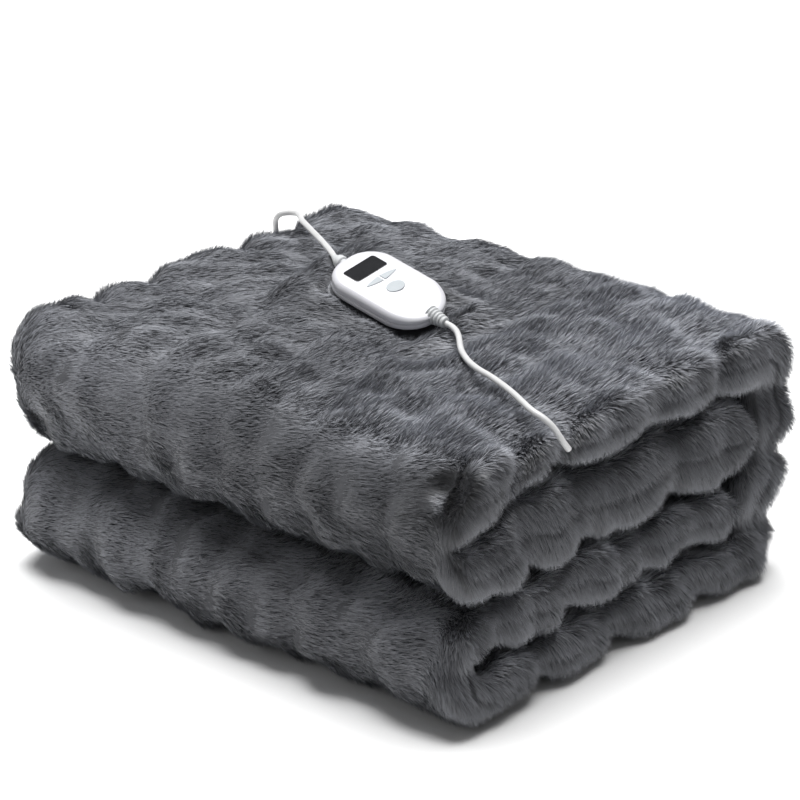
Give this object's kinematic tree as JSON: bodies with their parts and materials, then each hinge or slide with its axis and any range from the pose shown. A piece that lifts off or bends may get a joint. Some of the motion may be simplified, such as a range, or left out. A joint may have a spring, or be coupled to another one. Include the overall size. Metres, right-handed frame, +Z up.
{
  "type": "electric heated blanket",
  "caption": "Electric heated blanket of ruched faux fur, folded into a stack, with a hand controller with a display window on top and a mains lead that ends in a plug.",
  "frame": {"origin": "middle of the folded blanket's underside, on the surface that it lies on", "axes": "+Z up from the surface, -Y towards the long front folds, +X towards the side edges that show the plies, -X towards the side that the mains lead goes down"},
  "size_m": [0.6908, 0.5324, 0.3137],
  "materials": {
    "fur": "long-pile faux fur, ruched",
    "white_plastic": "satin moulded",
    "display": "polished, dark and blank",
    "button_rubber": "matte silicone",
    "relief_rubber": "matte moulded",
    "cord_sheath": "smooth flexible sheath",
    "plug_rubber": "moulded",
    "plated_brass": "nickel plated"
  },
  "bodies": {
    "root": {"blanket": "fur", "controller_lower_shell": "white_plastic", "controller_upper_shell": "white_plastic", "display_window": "display", "button_plus": "button_rubber", "button_minus": "button_rubber", "button_power": "button_rubber", "mains_relief": "relief_rubber", "lead_relief": "relief_rubber", "blanket_lead": "cord_sheath", "mains_lead": "cord_sheath", "mains_lead_coil": "cord_sheath", "mains_lead_tail": "cord_sheath", "plug_body": "plug_rubber", "plug_pin_left": "plated_brass", "plug_pin_right": "plated_brass"}
  },
  "joints": []
}
